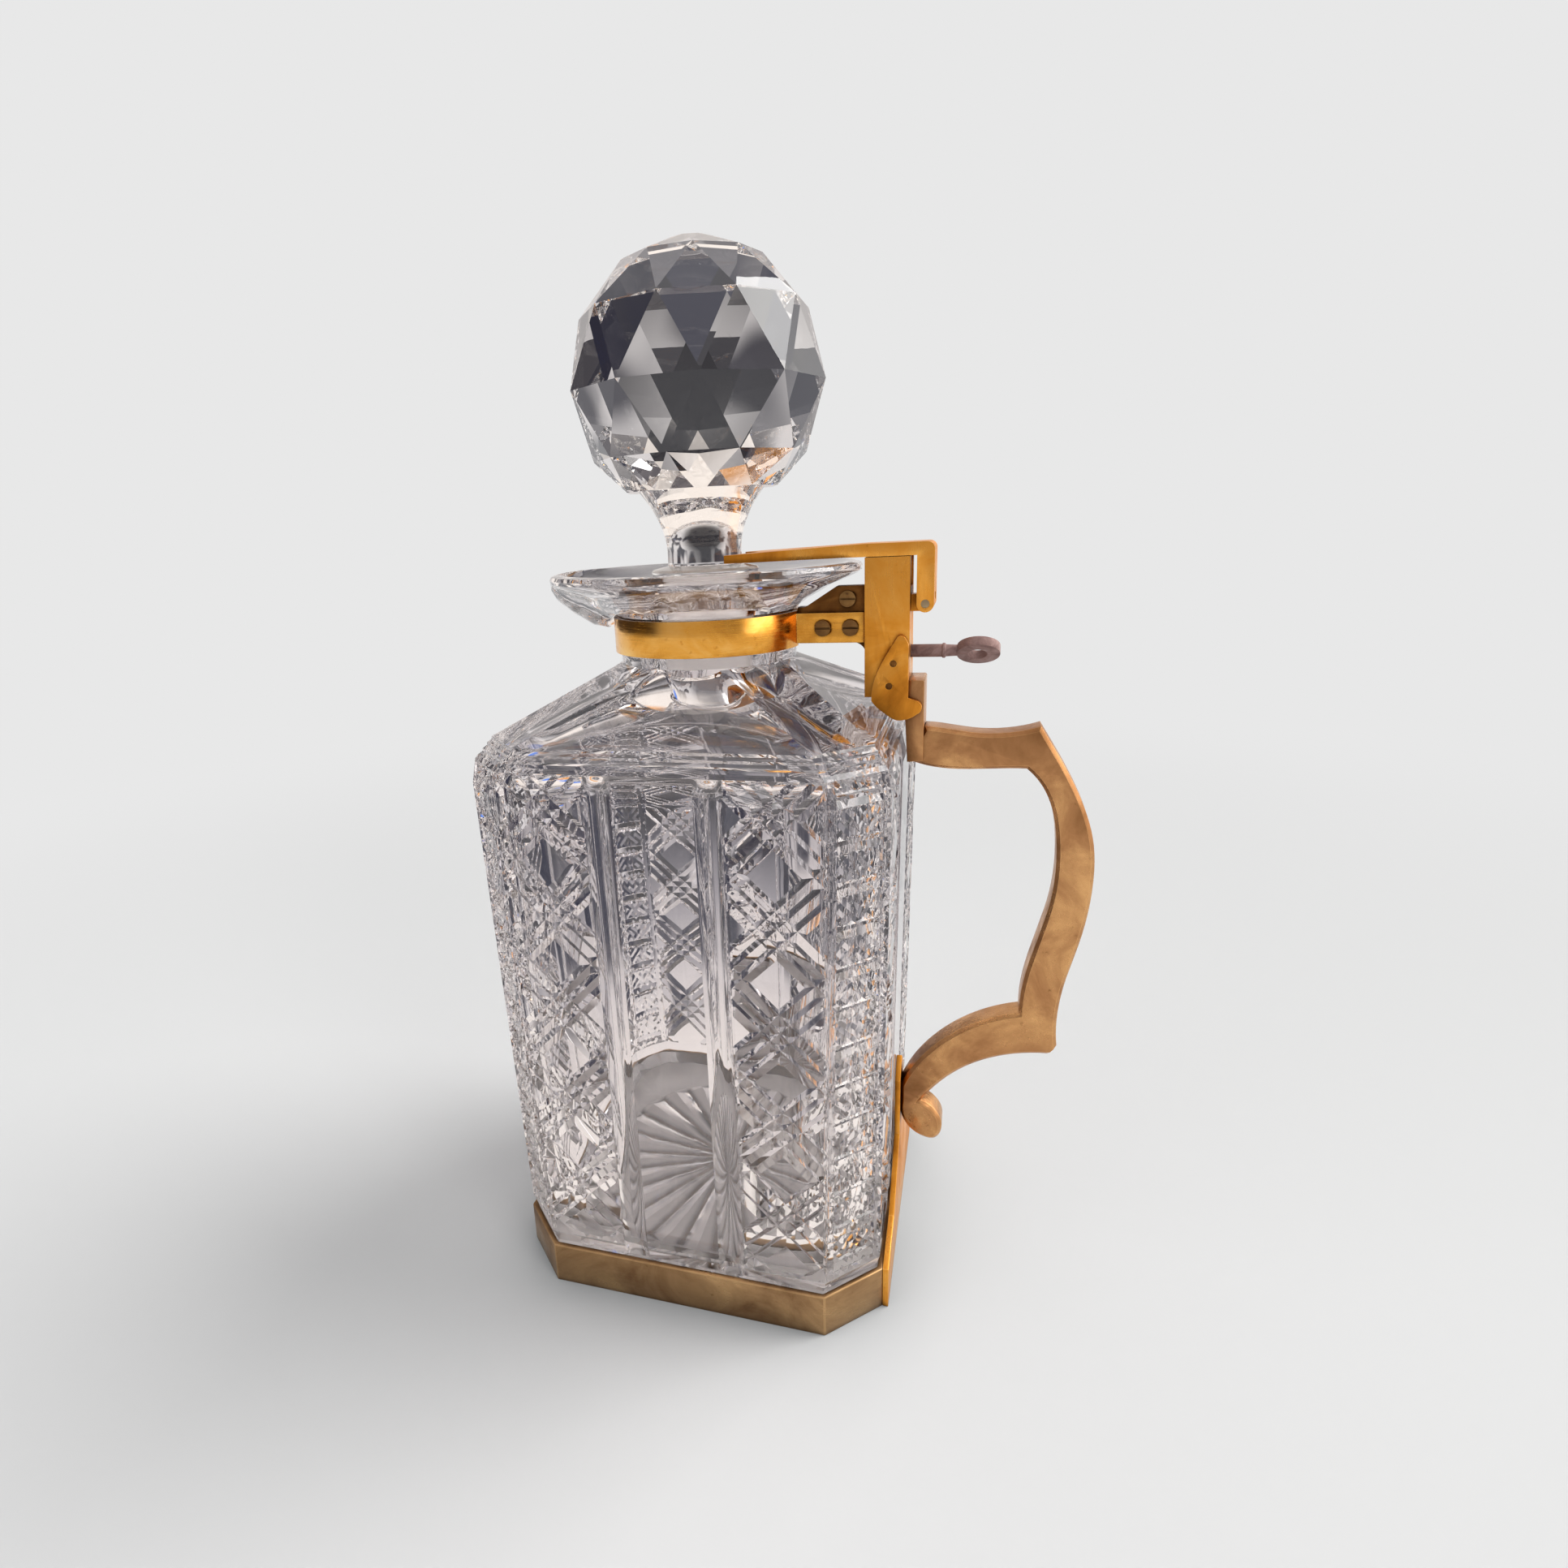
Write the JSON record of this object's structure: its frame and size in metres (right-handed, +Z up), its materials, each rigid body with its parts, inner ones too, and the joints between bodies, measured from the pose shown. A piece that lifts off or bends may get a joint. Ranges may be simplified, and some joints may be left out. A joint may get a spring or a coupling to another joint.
{
  "type": "tantalus decanter",
  "caption": "Square cut-glass decanter with ball stopper, held in a brass tray and a hinged neck lock with a handle and a key.",
  "frame": {"origin": "centre of the tray's flat underside, on the bottle's axis", "axes": "+Z up along the bottle and stopper, +X towards the handle, the lock and the key; -Y is the front face seen in the picture"},
  "size_m": [0.1498, 0.1036, 0.2652],
  "materials": {
    "cut_glass": "clear cut lead glass, polished",
    "stopper_glass": "clear faceted lead glass, polished",
    "tray_brass": "toned brass, worn",
    "band_brass": "polished gilt brass",
    "frame_brass": "gilt brass with light wear",
    "dark_brass": "darkened brass",
    "handle_brass": "coppery worn brass",
    "screw_steel": "browned slotted screw",
    "bolt_steel": "filed steel",
    "key_iron": "brown rusted iron"
  },
  "bodies": {
    "mount": {"bottle": "cut_glass", "base_tray": "tray_brass", "back_strap": "frame_brass", "scroll_screw": "frame_brass", "neck_band": "band_brass", "neck_bracket": "dark_brass", "band_screws": "screw_steel", "bracket_screw": "screw_steel", "lock_case": "frame_brass", "lock_cover": "frame_brass", "cover_screws": "screw_steel", "drill_pin": "key_iron", "bolt_spring": "bolt_steel", "cheek_near": "frame_brass", "cheek_far": "frame_brass", "cheek_rivets": "dark_brass", "handle": "handle_brass"},
    "arm": {"locking_arm": "frame_brass", "arm_staple": "frame_brass", "staple_rivets": "frame_brass", "hinge_pin": "bolt_steel"},
    "stopper": {"stopper": "stopper_glass"},
    "key": {"key": "key_iron"},
    "bolt": {"bolt": "bolt_steel"}
  },
  "joints": [
    {"name": "arm_swing", "type": "hinge", "parent": "mount", "child": "arm", "pos_m": [0.05615, 0, 0.179], "axis": [0, 1, 0], "range_deg": [0, 95]},
    {"name": "stopper_lift", "type": "slide", "parent": "mount", "child": "stopper", "axis": [0, 0, 1], "range_m": [0, 0.046]},
    {"name": "key_turn", "type": "hinge", "parent": "mount", "child": "key", "pos_m": [0.0436, 0, 0.167], "axis": [1, 0, 0], "range_deg": [0, 60]},
    {"name": "bolt_slide", "type": "slide", "parent": "mount", "child": "bolt", "axis": [0, 0, 1], "range_m": [0, 0.00297]}
  ],
  "couplings": [
    {"joint": "arm_swing", "follows": "stopper_lift", "rad_per_m": 36},
    {"joint": "key_turn", "follows": "bolt_slide", "rad_per_m": 352}
  ]
}
